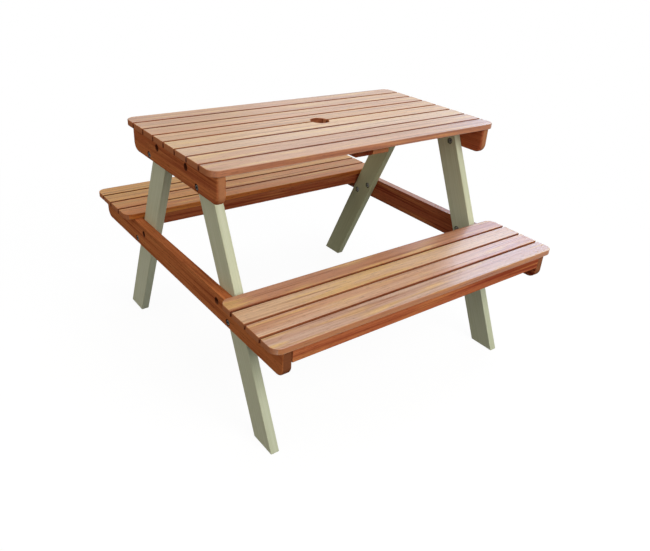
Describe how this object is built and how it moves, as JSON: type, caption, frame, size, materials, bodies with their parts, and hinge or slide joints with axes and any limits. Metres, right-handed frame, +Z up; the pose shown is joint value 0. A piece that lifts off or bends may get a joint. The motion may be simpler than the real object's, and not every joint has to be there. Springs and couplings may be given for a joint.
{
  "type": "kids picnic table",
  "caption": "Low wooden picnic table for children: a slatted top with a parasol hole and slatted benches along its long sides, bolted to leaning painted legs.",
  "frame": {"origin": "on the ground, under the middle of the table top", "axes": "+X along the slats, +Y from the front bench to the back bench, +Z up"},
  "size_m": [0.735, 0.7954, 0.519],
  "materials": {
    "slat_wood": "pale stained softwood, satin",
    "bench_wood": "stained softwood, satin",
    "frame_wood": "stained softwood, satin",
    "leg_paint": "sage green paint, matte",
    "bolt_steel": "zinc plated",
    "screw_steel": "yellow zinc plated"
  },
  "bodies": {
    "root": {"top_slat_1": "slat_wood", "top_slat_2": "slat_wood", "top_slat_3": "slat_wood", "top_slat_4": "slat_wood", "top_slat_5": "slat_wood", "top_slat_6": "slat_wood", "top_slat_7": "slat_wood", "top_slat_8": "slat_wood", "front_bench_slat_1": "bench_wood", "front_bench_slat_2": "bench_wood", "front_bench_slat_3": "bench_wood", "front_bench_slat_4": "bench_wood", "back_bench_slat_1": "bench_wood", "back_bench_slat_2": "bench_wood", "back_bench_slat_3": "bench_wood", "back_bench_slat_4": "bench_wood", "left_top_batten": "frame_wood", "right_top_batten": "frame_wood", "left_centre_batten": "frame_wood", "right_centre_batten": "frame_wood", "left_seat_rail": "frame_wood", "right_seat_rail": "frame_wood", "front_bench_inner_apron": "frame_wood", "front_bench_outer_apron": "frame_wood", "back_bench_inner_apron": "frame_wood", "back_bench_outer_apron": "frame_wood", "front_bench_centre_batten": "frame_wood", "back_bench_centre_batten": "frame_wood", "front_left_leg": "leg_paint", "front_right_leg": "leg_paint", "back_left_leg": "leg_paint", "back_right_leg": "leg_paint", "front_left_leg_bolt_1": "bolt_steel", "front_left_leg_bolt_2": "bolt_steel", "front_left_leg_bolt_3": "bolt_steel", "front_left_leg_bolt_4": "bolt_steel", "front_right_leg_bolt_1": "bolt_steel", "front_right_leg_bolt_2": "bolt_steel", "front_right_leg_bolt_3": "bolt_steel", "front_right_leg_bolt_4": "bolt_steel", "back_left_leg_bolt_1": "bolt_steel", "back_left_leg_bolt_2": "bolt_steel", "back_left_leg_bolt_3": "bolt_steel", "back_left_leg_bolt_4": "bolt_steel", "back_right_leg_bolt_1": "bolt_steel", "back_right_leg_bolt_2": "bolt_steel", "back_right_leg_bolt_3": "bolt_steel", "back_right_leg_bolt_4": "bolt_steel", "top_screw_1": "screw_steel", "top_screw_2": "screw_steel", "top_screw_3": "screw_steel", "top_screw_4": "screw_steel", "top_screw_5": "screw_steel", "top_screw_6": "screw_steel", "top_screw_7": "screw_steel", "top_screw_8": "screw_steel", "front_bench_screw_1": "screw_steel", "front_bench_screw_2": "screw_steel", "back_bench_screw_1": "screw_steel", "back_bench_screw_2": "screw_steel"}
  },
  "joints": []
}
